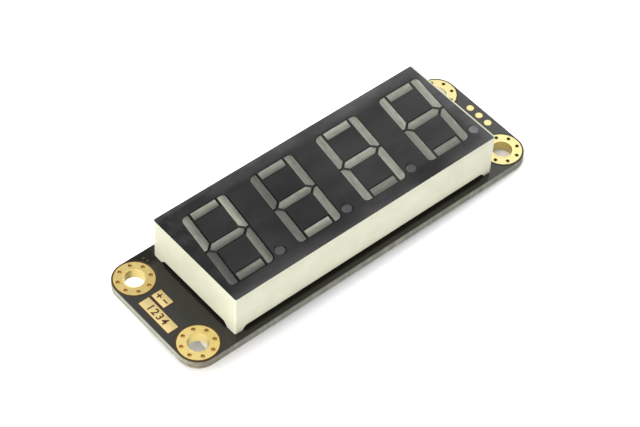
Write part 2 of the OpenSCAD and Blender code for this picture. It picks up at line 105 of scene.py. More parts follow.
# The last point is lighter than the others, and lies within this distance of the plain end
LAST_POINT_TONE = 3.0
LAST_POINT_INSET = 5.0 * MM
# Resin climbs its edge in two slopes: the share that each takes of the rim and of the fall
RIM_SLOPES = ((0.4, 0.75), (0.6, 0.25))
# Small moulded parts: name, colour, roughness, grain and relief in millimetres, and node
MOULDED_PARTS = (
    ("Chip moulding", (0.022, 0.022, 0.023), 0.55, 0.06, 0.004, "driver_chip"),
    ("Resistor glaze", (0.016, 0.016, 0.018), 0.3, 0.1, 0.002, "resistor_bodies"),
    ("Capacitor ceramic", (0.42, 0.30, 0.18), 0.45, 0.08, 0.003, "capacitor_bodies"),
    # The connector's beige is darker than its own ivory: painted shade.
    ("Connector moulding", (0.60, 0.56, 0.46), 0.4, 0.12, 0.002, "connector_housing"),
    ("Light board", (0.70, 0.68, 0.52), 0.5, 0.1, 0.003, "light_board"),
    ("Casting resin", (0.62, 0.58, 0.42), 0.25, 0.5, 0.004, "back_resin"),
    ("Light chip", (0.55, 0.12, 0.08), 0.3, 0.05, 0.001, "light_chips"),
)
CAMERA_PLACE = (-0.147878, -0.157063, 0.252620)
CAMERA_AHEAD = (0.443681, 0.473493, -0.760889)
CAMERA_RIGHT = (0.760841, -0.647665, 0.040618)


# ---------------------------------------------------------------- settings


def colour_setting(name, default, description):
    return FloatVectorProperty(
        name=name, description=description, default=default, size=3,
        min=0.0, max=1.0, subtype="COLOR",
    )


def number_setting(name, default, description, **options):
    options = {"min": 0.0, **options}
    return FloatProperty(name=name, description=description, default=default, **options)


def length_setting(name, default, description):
    return number_setting(name, default * MM, description, unit="LENGTH", precision=5)


def factor_setting(name, default, description):
    return number_setting(name, default, description, max=1.0, subtype="FACTOR")


def power_setting(name, default, description):
    return number_setting(name, default, description, unit="POWER")


class HousingSettings(PropertyGroup):
    ivory: colour_setting("Ivory", (0.605, 0.605, 0.475), "Colour of the moulded housing")
    gloss: factor_setting("Roughness", 0.42, "Roughness of the moulded walls")
    edge: length_setting("Edge Rounding", 0.09, "Rounding of the moulded edges")


class FaceSettings(PropertyGroup):
    coat: colour_setting("Coat", (0.0082, 0.0082, 0.0080), "Colour of the dark coat on the face")
    # The haze is dust with a painted sheen, laid along the face's edges.
    haze: colour_setting("Haze", (0.055, 0.055, 0.058), "Colour of the dusty film along the edges")
    window: colour_setting(
        "Windows", (0.20, 0.205, 0.165), "Colour of the cast resin in the digits",
    )
    decimal: colour_setting("Decimals", (0.030, 0.030, 0.031), "Colour of the resin in the points")
    sink: length_setting("Resin Sink", 0.03, "Depth to which the resin sinks between its edges")
    rim: length_setting("Resin Rim", 0.2, "Width of the resin that climbs its edges")
    lip: length_setting("Coat Lip", 0.18, "Width of the coat that rolls over a window's edge")
    roll: length_setting("Coat Roll", 0.06, "Depth to which the coat rolls over a window's edge")


class BoardSettings(PropertyGroup):
    mask: colour_setting("Solder Mask", (0.009, 0.009, 0.006), "Colour of the solder mask")
    core: colour_setting("Core", (0.128, 0.128, 0.103), "Colour of the glass core at the edges")
    gold: colour_setting("Gold", (0.545, 0.432, 0.165), "Colour of the gold plating")
    ink: colour_setting("Ink", (0.78, 0.78, 0.75), "Colour of the printed outlines")
    plate: length_setting("Plate Thickness", 0.05, "Thickness of the gold label plates")
    border: length_setting("Plate Border", 0.14, "Bare strip between the gold and the mask")
    hole: length_setting("Mounting Hole", 3.2, "Diameter of the mounting holes")
    via: length_setting("Small Hole", 0.55, "Diameter of the small holes in the rings")
    via_inset: length_setting(
        "Small Hole Inset", 0.7, "Distance from a ring's edge to its small holes",
    )
    track: length_setting("Track Width", 0.3, "Width of the copper tracks under the mask")


class StudioSettings(PropertyGroup):
    floor: colour_setting("Floor", (0.78, 0.78, 0.775), "Colour of the floor")
    lift: factor_setting("Floor Glow", 0.57, "Light of the floor itself, as on a light table")
    sky: number_setting("Sky", 1.15, "Brightness of the even light around the module")
    key: power_setting("Key", 1.2, "Power of the large soft light above and behind")
    side: power_setting("Side", 1.9, "Power of the soft light beside the cable end")
    glow: power_setting("Glow", 1.5, "Power of the soft light that the plain end mirrors")
    lens: number_setting("Lens", 124.07, "Focal length of the camera in millimetres", min=1.0)


# ---------------------------------------------------------------- finishes


def toned(colour, level):
    """Colour made darker or lighter."""
    return [min(c * level, 1.0) for c in colour]


class Finish:
    """One material; all of its patterns read the piece's Object coordinates."""

    def __init__(self, name, colour, roughness, metallic=0.0):
        self.material = bpy.data.materials.new(name)
        self.material.use_nodes = True
        self.tree = self.material.node_tree
        self.shader = self.tree.nodes["Principled BSDF"]
        self.spots = self.add("TexCoord")
        self.put("Base Color", (*colour, 1.0))
        self.put("Roughness", roughness)
        self.put("Metallic", metallic)

    def add(self, kind, inputs=None, **options):
        node = self.tree.nodes.new("ShaderNode" + kind)
        for option, value in options.items():
            setattr(node, option, value)
        for socket, value in (inputs or {}).items():
            self.join(node.inputs[socket], value)
        return node

    def join(self, socket, value):
        if isinstance(value, NodeSocket):
            self.tree.links.new(value, socket)
        else:
            socket.default_value = value

    def put(self, socket, value):
        self.join(self.shader.inputs[socket], value)

    def axis_of(self, output, axis):
        spots = self.spots.outputs[output]
        return self.add("SeparateXYZ", {"Vector": spots}).outputs[axis]

    def place(self, axis):
        """Place along one axis, in metres."""
        return self.axis_of("Object", axis)

    def share(self, axis, start, whole):
        """Place along one axis, as a share of a whole length."""
        return self.sum("DIVIDE", self.sum("SUBTRACT", self.place(axis), start), whole)

    def facing(self, axis):
        """How far the surface faces along one axis."""
        return self.axis_of("Normal", axis)

    def is_wall(self):
        return self.sum("LESS_THAN", self.sum("ABSOLUTE", self.facing("Z")), 0.5)

    def turned(self):
        """How far the surface faces the cable end and the back at once."""
        return self.add(
            "VectorMath", {0: self.spots.outputs["Normal"], 1: CABLE_END_BACK},
            operation="DOT_PRODUCT",
        ).outputs["Value"]

    def kept(self, name):
        """Level that the piece keeps on its corners under a name."""
        return self.add("Attribute", attribute_name=name).outputs["Fac"]

    def noise(self, grain, detail, stretch=(1.0, 1.0, 1.0), seed=0.0, spots=None):
        """Cloudy pattern whose lumps are about `grain` millimetres across."""
        place = self.add("Mapping", {
            "Vector": spots or self.spots.outputs["Object"], "Scale": stretch,
        })
        node = self.add(
            "TexNoise",
            {"Vector": place.outputs[0], "W": seed, "Scale": 1.0 / (grain * MM), "Detail": detail},
            noise_dimensions="4D",
        )
        return node.outputs["Fac"]

    def shade(self, factor, stops):
        """Grey levels or colours placed along a factor."""
        ramp = self.add("ValToRGB", {"Fac": factor})
        bands = ramp.color_ramp.elements
        while len(bands) < len(stops):
            bands.new(0.5)
        for band, (place, level) in zip(bands, stops):
            band.position = place
            band.color = (level, level, level, 1.0) if isinstance(level, float) else (*level, 1.0)
        return ramp.outputs["Color"]

    def base(self):
        return self.shader.inputs["Base Color"].links[0].from_socket

    def mix(self, factor, first, second):
        node = self.add("Mix", data_type="RGBA")
        for socket, value in ((0, factor), (6, first), (7, second)):
            if not isinstance(value, (NodeSocket, float)):
                value = (*value[:3], 1.0)
            self.join(node.inputs[socket], value)
        return node.outputs[2]

    def product(self, first, second):
        colour = self.mix(1.0, first, second)
        colour.node.blend_type = "MULTIPLY"
        return colour

    def mottle(self, factor, colour, dark, light):
        """One colour, toned between two levels."""
        return self.mix(factor, toned(colour, dark), toned(colour, light))

    def by_end(self, cable_end, plain_end):
        """One colour for the half at the cable end, another for the half at the plain end."""
        return self.mix(self.sum("GREATER_THAN", self.place("X"), 0.0), cable_end, plain_end)

    def sum(self, operation, *values):
        node = self.add("Math", operation=operation)
        for socket, value in zip(node.inputs, values):
            self.join(socket, value)
        return node.outputs[0]

    def fold(self, operation, first, *others):
        """The same sum over several levels."""
        for other in others:
            first = self.sum(operation, first, other)
        return first

    def times(self, *factors):
        return self.fold("MULTIPLY", *factors)

    def patch(self, *bands):
        """Product of grey levels, each placed along a factor of its own."""
        return self.times(*[self.shade(factor, stops) for factor, stops in bands])

    def blend(self, first, share, second):
        """Two patterns, the first with the given share."""
        return self.sum("MULTIPLY_ADD", first, share, self.times(second, 1.0 - share))

    def relief(self, height, depth, rounding=0.0):
        """Bump of a depth in millimetres, on edges softened by `rounding` metres."""
        bump = self.add("Bump", {
            "Height": height, "Distance": depth * MM, "Strength": 1.0,
        })
        if rounding:
            soft = self.add("Bevel", {"Radius": rounding}, samples=4)
            self.join(bump.inputs["Normal"], soft.outputs[0])
        self.put("Normal", bump.outputs[0])


def dress(finish, *nodes):
    """Gives CAD nodes the finish in all of their material slots."""
    for node in nodes:
        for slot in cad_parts[node].material_slots:
            slot.material = finish.material


def housing_finish(settings):
    """Ivory plastic with painted shade: darker upwards, to the plain end and to the back of the
    cable end's wall, and a painted highlight at the front of that wall.
    """
    finish = Finish("Moulded ivory", settings.ivory, settings.gloss)
    cloud = finish.noise(3.2, 4.0)
    flow = finish.noise(0.9, 3.0, stretch=(0.35, 0.35, 1.6), seed=2.0)
    tint = finish.shade(cloud, [(0.36, (0.92, 0.915, 0.89)), (0.64, WHITE)])
    height = finish.share("Z", 0.0, HOUSING_HIGH.z)
    # Painted shade: the walls darken upwards.
    rise = finish.shade(height, [(0.1, 0.98), (0.8, 0.95), (0.95, 0.93)])
    along = finish.share("Y", HOUSING_LOW.y, HOUSING_HIGH.y - HOUSING_LOW.y)
    # Painted light on the cable end's wall: a highlight at its front, shade towards its back.
    fall = finish.shade(along, [(0.0, 1.1), (0.16, 1.03), (0.3, 0.99), (0.5, 0.95), (0.95, 0.93)])
    fall = finish.mix(finish.sum("LESS_THAN", finish.facing("X"), -0.7), WHITE, fall)
    # Painted shade: darker towards the plain end.
    far = finish.share("X", 0.0, HOUSING_HIGH.x)
    painted_shade_to_plain_end = finish.shade(far, [(0.4, 1.0), (0.75, 0.94), (1.0, 0.92)])
    colour = settings.ivory
    for level in (tint, rise, fall, painted_shade_to_plain_end):
        colour = finish.product(colour, level)
    finish.put("Base Color", colour)
    matt, gloss = settings.gloss + 0.08, settings.gloss - 0.06
    finish.put("Roughness", finish.shade(flow, [(0.3, gloss), (0.7, matt)]))
    finish.put("Subsurface Weight", 0.18)
    finish.put("Subsurface Radius", (1.0, 0.9, 0.6))
    finish.put("Subsurface Scale", 0.5 * MM)
    finish.put("Specular IOR Level", 0.45)
    finish.relief(finish.noise(0.14, 2.0), 0.0022, settings.edge)
    return finish


def coat_finish(settings):
    """Matt film, dustier in cloudy smears with a painted sheen towards its edges, painted shade on
    the window lips that face the cable end and the back, and scuffed beside the cable end.
    """
    finish = Finish("Dark face coat", settings.coat, 0.36)
    end = finish.share("X", FACE_LOW.x, 2 * FACE_REACH.x)
    back = finish.share("Y", FACE_MIDDLE.y, FACE_REACH.y)
    front = finish.times(back, -1.0)
    # Painted sheen: the haze lies along the back, front and plain-end edges of the face, mixed with
    # the dust smears.
    back_rim = finish.patch(
        (back, [(0.70, 0.0), (0.80, 0.45), (0.87, 0.75), (0.95, 1.0)]),
        (end, [(0.0, 0.05), (0.15, 0.1), (0.22, 0.8), (0.6, 0.9), (0.9, 1.0)]),
    )
    back_edge = finish.patch(
        (back, [(0.9, 0.0), (0.945, 0.85), (1.0, 1.0)]), (end, [(0.0, 0.4), (0.05, 1.0)]),
    )
    front_rim = finish.patch(
        (front, [(0.76, 0.1), (0.90, 0.5), (1.0, 1.0)]),
        (end, [(0.0, 1.0), (0.4, 0.8), (0.66, 0.5), (0.71, 0.0), (0.77, 0.0), (0.86, 0.5),
               (1.0, 1.0)]),
    )
    plain_rim = finish.shade(end, [(0.955, 0.0), (0.975, 0.7), (1.0, 1.0)])
    rim = finish.fold("MAXIMUM", back_rim, back_edge, front_rim, plain_rim)
    smear = finish.noise(4.5, 5.0, stretch=(0.6, 1.3, 1.0), seed=4.0)
    streak = finish.noise(0.8, 4.0, stretch=(0.5, 1.6, 1.0), seed=8.0)
    dust = finish.noise(0.3, 4.0, seed=1.0)
    cloud = finish.blend(streak, 0.3, smear)
    film = finish.times(finish.shade(cloud, [(0.4, 0.45), (0.6, 1.0)]), rim)
    dust_and_sheen = finish.mix(film, settings.coat, settings.haze)
    rubbed = finish.noise(1.6, 5.0, stretch=(1.5, 0.6, 1.0), seed=16.0)
    scuff = finish.patch(
        (rubbed, [(0.48, 0.0), (0.56, 0.3), (0.66, 0.42)]),
        (end, [(0.0, 1.0), (0.045, 0.75), (0.09, 0.1), (0.12, 0.0)]),
        (back, [(0.0, 0.3), (0.3, 1.0)]),
    )
    dust_and_sheen = finish.mix(scuff, dust_and_sheen, (0.040, 0.047, 0.045))
    # Painted shade: the coat's lip is darker where it faces the cable end and the back, most beside
    # the cable end.
    turned = finish.turned()
    lip = finish.patch(
        (turned, [(0.1, 0.0), (0.2, 1.0)]),
        (end, [(0.0, 0.95), (0.25, 0.9), (0.38, 0.7), (0.5, 0.45), (0.62, 0.2), (1.0, 0.12)]),
    )
    other_lip = finish.shade(finish.times(turned, -1.0), [(0.1, 0.0), (0.2, 0.7)])
    finish.put("Base Color", finish.mix(lip, dust_and_sheen, toned(settings.coat, 0.3)))
    finish.put("Roughness", finish.shade(smear, [(0.3, 0.34), (0.7, 0.46)]))
    # A matt patch: less sheen at the front towards the plain end.
    painted_light_and_matt_patch = finish.patch(
        (front, [(0.68, 0.0), (0.78, 1.0)]),
        (end, [(0.67, 0.0), (0.73, 0.4), (0.80, 0.4), (0.86, 0.0)]),
    )
    polish = finish.patch(
        (end, [(0.0, 0.08), (0.1, 0.15), (0.2, 0.17), (0.28, 0.1), (0.4, 0.12), (0.5, 0.18),
               (0.6, 0.21)]),
        (finish.blend(dust, 0.3, smear), [(0.38, 0.78), (0.6, 1.16)]),
    )
    whole = finish.sum("SUBTRACT", 1.0, finish.sum("MAXIMUM", lip, other_lip))
    matt = finish.times(whole, finish.sum("SUBTRACT", 1.0, painted_light_and_matt_patch))
    finish.put("Specular IOR Level", finish.times(polish, matt))
    finish.relief(dust, 0.0012)
    return finish


def resin_finish(name, tone, seed):
    """Milky cast resin, toned by the glow level that the piece keeps (in the digits, painted light
    and shade), with a painted highlight on the rim that faces the cable end and the back.
    """
    finish = Finish(name, tone, 0.4)
    milk = finish.noise(1.0, 4.0, seed=seed)
    speck = finish.noise(0.16, 3.0, seed=seed + 1.0)
    # Streaks are drawn out along their segment
    squeeze = 0.12
    upright = finish.kept("upright")
    leaned = finish.sum("MULTIPLY_ADD", finish.place("Y"), -LEAN, finish.place("X"))
    across = finish.sum("MULTIPLY_ADD", upright, 1.0 - squeeze, squeeze)
    along = finish.sum("MULTIPLY_ADD", upright, squeeze - 1.0, 1.0)
    flow = finish.add("CombineXYZ", {
        0: finish.times(leaned, across),
        1: finish.times(finish.place("Y"), along),
    }).outputs[0]
    streak = finish.noise(0.28, 3.0, seed=seed + 2.0, spots=flow)
    depth = finish.blend(streak, 0.6, finish.blend(speck, 0.5, milk))
    cloudy = finish.mottle(finish.shade(depth, [(0.36, 0.0), (0.64, 1.0)]), tone, 0.68, 1.32)
    # In the digits the glow level is painted light and shade.
    glow = finish.kept("glow")
    level = finish.add("CombineXYZ", {0: glow, 1: glow, 2: glow}).outputs[0]
    # Painted highlight on the rim that faces the cable end and the back.
    rim = finish.shade(finish.turned(), [(0.04, 1.0), (0.08, 1.22), (0.16, 1.22), (0.2, 1.0)])
    finish.put("Base Color", finish.product(finish.product(cloudy, level), rim))
    finish.put("Specular IOR Level", 0.4)
    finish.relief(speck, 0.0015)
    return finish


def board_finish(settings):
    """Solder mask on the two faces, glass core in layers on the edges, lighter on those that face
    the cable end as painted light.
    """
    finish = Finish("Masked board", settings.mask, 0.4)
    is_edge = finish.is_wall()
    layers = finish.shade(finish.share("Z", 0.0, BACK_Z), [
        (0.0, (0.05, 0.05, 0.045)), (0.05, (0.1, 0.1, 0.085)), (0.1, (0.8, 0.81, 0.78)),
        (0.4, (0.98, 0.98, 0.94)), (0.62, (0.95, 0.95, 0.92)), (0.7, (0.58, 0.58, 0.56)),
        (0.78, (0.62, 0.62, 0.6)), (0.86, (1.2, 1.2, 1.18)),
    ])
    fibres = finish.noise(0.3, 4.0, stretch=(1.0, 1.0, 7.0), seed=3.0)
    chips = finish.noise(0.9, 3.0, stretch=(1.0, 1.0, 0.5), seed=6.0)
    core = finish.mottle(fibres, settings.core, 0.78, 1.22)
    core = finish.mix(finish.shade(chips, [(0.45, 0.0), (0.75, 0.3)]), core, (0.42, 0.42, 0.36))
    # Painted light: the core is lighter on the edges that face the cable end.
    to_cable_end = finish.times(finish.facing("X"), -1.0)
    painted_light_and_matt_patch = finish.shade(to_cable_end, [(0.4, 0.0), (0.95, 0.25)])
    core = finish.mix(painted_light_and_matt_patch, core, (0.70, 0.70, 0.58))
    towards_cable_end = finish.share("X", 0.0, BOARD_LOW.x)
    stain = finish.patch(
        (towards_cable_end, [(0.82, 0.0), (0.92, 1.0)]),
        (finish.share("Y", 0.0, BOARD_LOW.y), [(0.6, 0.0), (0.85, 1.0)]),
        (finish.noise(0.45, 4.0, seed=11.0), [(0.4, 0.15), (0.6, 0.85)]),
    )
    core = finish.mix(stain, core, (0.17, 0.135, 0.075))
    weave = finish.noise(0.5, 2.0, stretch=(1.0, 2.2, 1.0), seed=5.0)
    mask = finish.mottle(weave, settings.mask, 0.8, 1.3)
    finish.put("Base Color", finish.mix(is_edge, mask, finish.product(core, layers)))
    shaded = finish.patch(
        (towards_cable_end, [(0.68, 0.0), (0.76, 1.0)]),
        (finish.share("Y", 0.0, BOARD_HIGH.y), [(0.7, 0.0), (0.8, 0.38)]),
    )
    finish.put("Specular IOR Level", finish.sum("SUBTRACT", 0.47, shaded))
    polish = finish.shade(weave, [(0.3, 0.16), (0.7, 0.22)])
    finish.put("Roughness", finish.sum("MULTIPLY_ADD", is_edge, 0.5, polish))
    height = finish.sum("MULTIPLY_ADD", fibres, is_edge, finish.times(weave, 0.25))
    finish.relief(height, 0.01, 0.05 * MM)
    return finish


def metal_finish(name, colour, roughness, grain, depth, seed=0.0):
    """Cloudy metal; its grain and relief are in millimetres."""
    finish = Finish(name, colour, roughness, 1.0)
    cloud = finish.noise(grain, 4.0, seed=seed)
    fine = finish.noise(grain * 0.2, 3.0, seed=seed + 1.0)
    finish.put("Base Color", finish.mottle(cloud, colour, 0.88, 1.08))
    finish.put("Roughness", finish.shade(cloud, [(0.3, roughness - 0.05), (0.7, roughness + 0.08)]))
    height = finish.sum("ADD", cloud, finish.times(fine, 0.4))
    finish.relief(height, depth, 0.04 * MM)
    return finish


def plating_finish(settings):
    """Gold that is paler at the plain end, with painted light: brighter on the front ring at the
    cable end, paler on the walls of the holes, and a pale cream painted highlight on the wall of
    the back ring at the plain end.
    """
    finish = metal_finish("Gold plating", settings.gold, 0.3, 0.7, 0.0012)
    # Painted light: the flat gold of the front ring at the cable end is lighter.
    front = finish.times(*[finish.sum("LESS_THAN", finish.place(axis), 0.0) for axis in "XY"])
    flat = finish.mix(front, finish.base(), toned(settings.gold, 1.28))
    flat = finish.product(flat, finish.by_end(WHITE, PALE_TINT))
    # Painted light: the walls of the holes are paler than the flat gold.
    wall = toned(settings.gold, 1.15)
    # Painted highlight: the wall of the back ring at the plain end is a pale cream.
    is_back = finish.sum("GREATER_THAN", finish.place("Y"), 0.0)
    painted_highlight_wall = finish.mix(is_back, wall, (1.0, 0.93, 0.76))
    finish.put("Base Color", finish.mix(finish.is_wall(), flat, finish.by_end(wall, painted_highlight_wall)))
    return finish


def filling_finish():
    """Brown resin, with painted shade where it drops away; at the plain end painted dark
    throughout, as the shade of open holes.
    """
    finish = Finish("Hole filling", (0.4, 0.23, 0.08), 0.4)
    upright = finish.sum("ABSOLUTE", finish.facing("Z"))
    # Painted shade on the steep faces.
    steep = finish.shade(upright, [(0.84, 1.0), (0.97, 0.0)])
    cloud = finish.noise(0.15, 2.0, seed=9.0)
    brown = finish.mix(cloud, (0.53, 0.36, 0.11), (0.76, 0.55, 0.2))
    brown = finish.mix(steep, brown, (0.24, 0.125, 0.03))
    # Painted shade: the holes at the plain end are dark throughout.
    finish.put("Base Color", finish.by_end(brown, (0.032, 0.029, 0.003)))
    finish.put("Specular IOR Level", 0.15)
    return finish


def moulding_finish(name, colour, roughness, grain, depth, seed=0.0):
    """Filled plastic or ceramic with a fine matt grain; grain and relief are in millimetres."""
    finish = Finish(name, colour, roughness)
    speck = finish.noise(grain, 3.0, seed=seed)
    cloud = finish.noise(grain * 9.0, 2.0, seed=seed + 1.0)
    finish.put("Base Color", finish.mottle(finish.blend(speck, 0.5, cloud), colour, 0.8, 1.2))
    finish.put("Roughness", finish.shade(cloud, [(0.3, roughness - 0.05), (0.7, roughness + 0.07)]))
    finish.relief(speck, depth, 0.05 * MM)
    return finish


# ---------------------------------------------------------------- modelling


def clear_selection():
    bpy.ops.object.select_all(action="DESELECT")


def choose(kind, test):
    """Selects the faces, edges or corners of the piece in edit mode that pass a test."""
    bpy.ops.mesh.select_mode(type=kind[:-1].upper())
    bpy.ops.mesh.select_all(action="DESELECT")
    mesh = bmesh.from_edit_mesh(bpy.context.object.data)
    for element in getattr(mesh, kind):
        if test(element):
            element.select_set(True)
    mesh.select_flush_mode()
    bmesh.update_edit_mesh(bpy.context.object.data)


def keep_place():
    """Applies the active object's place, turn and scale to its shape."""
    bpy.ops.object.transform_apply(location=True, rotation=True, scale=True)


def choose_all():
    bpy.ops.mesh.select_all(action="SELECT")


def edit():
    """Opens the active object in edit mode with all of it selected."""
    keep_place()
    bpy.ops.object.mode_set(mode="EDIT")
    choose_all()


def leave():
    """Leaves edit mode; gives the active object."""
    bpy.ops.object.mode_set(mode="OBJECT")
    return bpy.context.object


def lift(height):
    bpy.ops.transform.translate(value=(0.0, 0.0, height))


def scale_about(middle, *scale):
    bpy.ops.transform.resize(value=scale, center_override=middle)


def lies_flat(face):
    return face.normal.z > FLAT


def centre(low, high):
    """Middle of a box as seen from above, on the level zero."""
    return (low.x + high.x) / 2, (low.y + high.y) / 2, 0.0


def outer_edge(low, high):
    """Side of the board that a box lies on, and how far out it reaches there."""
    return (1.0, high.y) if high.y > 0.0 else (-1.0, low.y)


def settle(name, finish, slot, smooth=30.0):
    """Makes the active object a finished piece of the module."""
    piece = bpy.context.object
    piece.name = name
    keep_place()
    piece.data.materials.clear()
    piece.data.materials.append(finish.material)
    bpy.ops.object.shade_smooth_by_angle(angle=math.radians(smooth))
    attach(piece, "root")
    return piece


def show(piece):
    bpy.context.scene.collection.objects.link(piece)
    return piece


def merge(pieces):
    """Joins new objects into the first and makes it the active one."""
    clear_selection()
    for piece in pieces:
        piece.select_set(True)
    bpy.context.view_layer.objects.active = pieces[0]
    if len(pieces) > 1:
        bpy.ops.object.join()
    return bpy.context.object


def spread(pattern, places):
    """Copies a modelled piece to the places, each copy with its own mesh, and joins them."""
    copies = []
    for place in places:
        copy = pattern.copy()
        copy.data = pattern.data.copy()
        copy.matrix_world = Matrix.Translation(place) @ pattern.matrix_world
        copies.append(show(copy))
    bpy.data.objects.remove(pattern)
    return merge(copies)


def taken_from(node, name):
    """Merged copy of a CAD node, opened in edit mode with its flat faces whole."""
    clear_selection()
    piece = show(bpy.data.objects.new(name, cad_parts[node].data.copy()))
    piece.select_set(True)
    bpy.context.view_layer.objects.active = piece
    bpy.ops.mesh.customdata_custom_splitnormals_clear()
    edit()
    bpy.ops.mesh.remove_doubles(threshold=WELD)
    bpy.ops.mesh.dissolve_limited(angle_limit=math.radians(0.5))
    return piece


def cube(length, width, height, location):
    """Block around a place, opened in edit mode."""
    clear_selection()
    bpy.ops.mesh.primitive_cube_add(size=1.0, location=location, scale=(length, width, height))
    edit()


def cylinder(corners, radius, depth, z):
    """Upright cylinder around the level z, opened in edit mode."""
    clear_selection()
    bpy.ops.mesh.primitive_cylinder_add(
        vertices=corners, radius=radius, depth=depth, location=(0.0, 0.0, z),
    )
    edit()


def slab(length, width, height, location, rounding):
    """Flat plate with softened edges."""
    cube(length, width, height, location)
    choose("edges", lambda edge: any(v.co.z > location[2] for v in edge.verts))
    bpy.ops.mesh.bevel(offset=rounding, segments=2)
    return leave()


def line(points, width, height, closed=False):
    """Low rounded ridge along points on the back of the board."""
    clear_selection()
    bpy.ops.curve.primitive_nurbs_path_add(location=(0.0, 0.0, 0.0))
    curve = bpy.context.object.data
    curve.splines.clear()
    spline = curve.splines.new("POLY")
    spline.points.add(len(points) - 1)
    for point, (x, y) in zip(spline.points, points):
        point.co = (x, y, 0.0, 1.0)
    spline.use_cyclic_u = closed
    curve.bevel_depth = width / 2
    curve.bevel_resolution = 1
    curve.use_fill_caps = True
    bpy.ops.object.convert(target="MESH")
    edit()
    scale_about((0.0, 0.0, 0.0), 1.0, 1.0, 2.0 * height / width)
    lift(BACK_Z)
    return leave()


def hoop(inner, outer, height, z, corners=64):
    """Flat ring with a softened upper edge, standing on the level z."""
    width, top = outer - inner, z + height
    clear_selection()
    bpy.ops.mesh.primitive_circle_add(vertices=corners, radius=inner, location=(0.0, 0.0, z))
    edit()
    bpy.ops.mesh.extrude_region_move()
    scale_about((0.0, 0.0, z), outer / inner, outer / inner, 1.0)
    choose_all()
    bpy.ops.mesh.extrude_region_move(TRANSFORM_OT_translate={"value": (0.0, 0.0, height)})
    choose("edges", lambda edge: all(abs(v.co.z - top) < abs(height) / 10 for v in edge.verts)
           and abs(edge.verts[0].co.xy.length - edge.verts[1].co.xy.length) < width / 10)
    bpy.ops.mesh.bevel(offset=min(abs(height), width / 2) * 0.45, segments=2)
    choose_all()
    bpy.ops.mesh.normals_make_consistent(inside=False)
    return leave()


def mound(length, width, height):
    """Solder that rises from a pad on the back and rounds over."""
    low = BACK_Z - height
    taper, roundness = 0.62, 0.17
    cube(length, width, height, (0.0, 0.0, BACK_Z - height / 2))
    choose("faces", lambda face: face.normal.z < -FLAT)
    scale_about((0.0, 0.0, low), taper, taper, 1.0)
    choose("edges", lambda edge: min(v.co.z for v in edge.verts) < low + height / 10)
    bpy.ops.mesh.bevel(offset=min(width, length) * roundness, segments=3)
    return leave()


def solids(node):
    """Lowest and highest corner of each separate solid of a CAD node."""
    mesh = bmesh.new()
    mesh.from_mesh(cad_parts[node].data)
    bmesh.ops.remove_doubles(mesh, verts=mesh.verts, dist=WELD)
    boxes = []
    for island in islands(mesh):
        spots = [corner.co for corner in island]
        boxes.append([
            Vector(pick(spot[axis] for spot in spots) for axis in range(3)) for pick in (min, max)
        ])
    mesh.free()
    return boxes


def islands(mesh):
    """Groups of joined corners of a bmesh."""
    left = set(mesh.verts)
    while left:
        island, edge = [], [left.pop()]
        while edge:
            corner = edge.pop()
            island.append(corner)
            for link in corner.link_edges:
                other = link.other_vert(corner)
                if other in left:
                    left.remove(other)
                    edge.append(other)
        yield island


# ---------------------------------------------------------------- operators


class DISPLAY_MODULE_OT_housing(Operator):
    """Gives the moulded housing its ivory plastic and soft edges"""

    bl_idname = "display_module.housing"
    bl_label = "Moulded Housing"

    def execute(self, context):
        dress(housing_finish(context.scene.module_housing), "display_housing")
        return {"FINISHED"}


class DISPLAY_MODULE_OT_face(Operator):
    """Models the dark coat of the face, rolled over the edge of every window"""

    bl_idname = "display_module.face"
    bl_label = "Dark Face"

    def execute(self, context):
        settings = context.scene.module_face
        taken_from("face_coat", "face_film")
        choose("faces", lies_flat)
        bpy.ops.mesh.inset(thickness=settings.lip, use_boundary=True, use_even_offset=True)
        choose("verts", self.is_at_window)
        lift(-settings.roll)
        leave()
        piece = settle("face_film", coat_finish(settings), "face_coat", 0.5)
        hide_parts("face_coat")
        return {"FINISHED"}

    def is_at_window(self, corner):
        """True for a corner on the upper edge of a window."""
        margin = 0.5 * MM
        level = FACE_HIGH.z - HAIR
        inside = all(
            abs(corner.co[i] - FACE_MIDDLE[i]) < FACE_REACH[i] - margin for i in range(2)
        )
        over_wall = any(edge.other_vert(corner).co.z < level for edge in corner.link_edges)
        return inside and corner.co.z > level and over_wall


